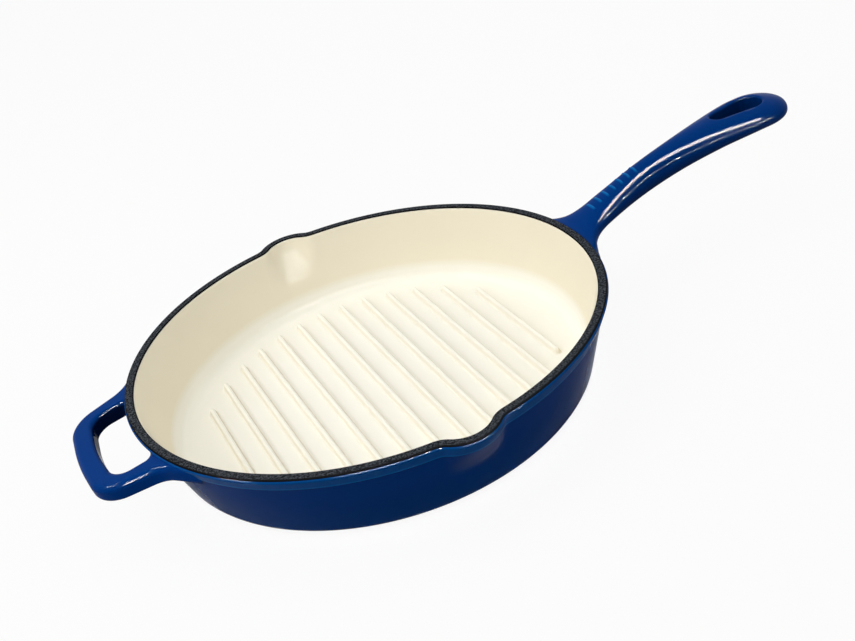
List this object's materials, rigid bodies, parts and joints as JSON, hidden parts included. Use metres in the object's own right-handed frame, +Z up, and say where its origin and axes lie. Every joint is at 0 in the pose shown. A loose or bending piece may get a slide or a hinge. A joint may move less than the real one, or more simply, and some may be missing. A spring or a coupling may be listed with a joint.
{
  "type": "grill pan",
  "caption": "Round enamelled cast-iron grill pan with a ribbed floor, pouring lips, a long arched handle with a hanging hole and a loop-shaped helper handle.",
  "frame": {"origin": "centre of the flat base, on the pan's axis, at the surface that the pan stands on", "axes": "+X along the long handle, away from the pan; -X towards the helper handle; +Z up, square to the base; +Y completes a right-handed frame, towards one pouring lip"},
  "size_m": [0.4399, 0.274, 0.0746],
  "materials": {
    "ground_coated_iron": "matt charcoal ground coat, fired on, with a fine grain",
    "cream_enamel": "cream vitreous enamel, fired on, glossy",
    "blue_enamel": "deep cobalt-blue vitreous enamel, fired on, high gloss"
  },
  "bodies": {
    "root": {"pan_body": "ground_coated_iron", "grill_ribs": "ground_coated_iron", "long_handle": "ground_coated_iron", "helper_handle": "ground_coated_iron", "interior_enamel": "cream_enamel", "exterior_enamel": "blue_enamel"}
  },
  "joints": []
}
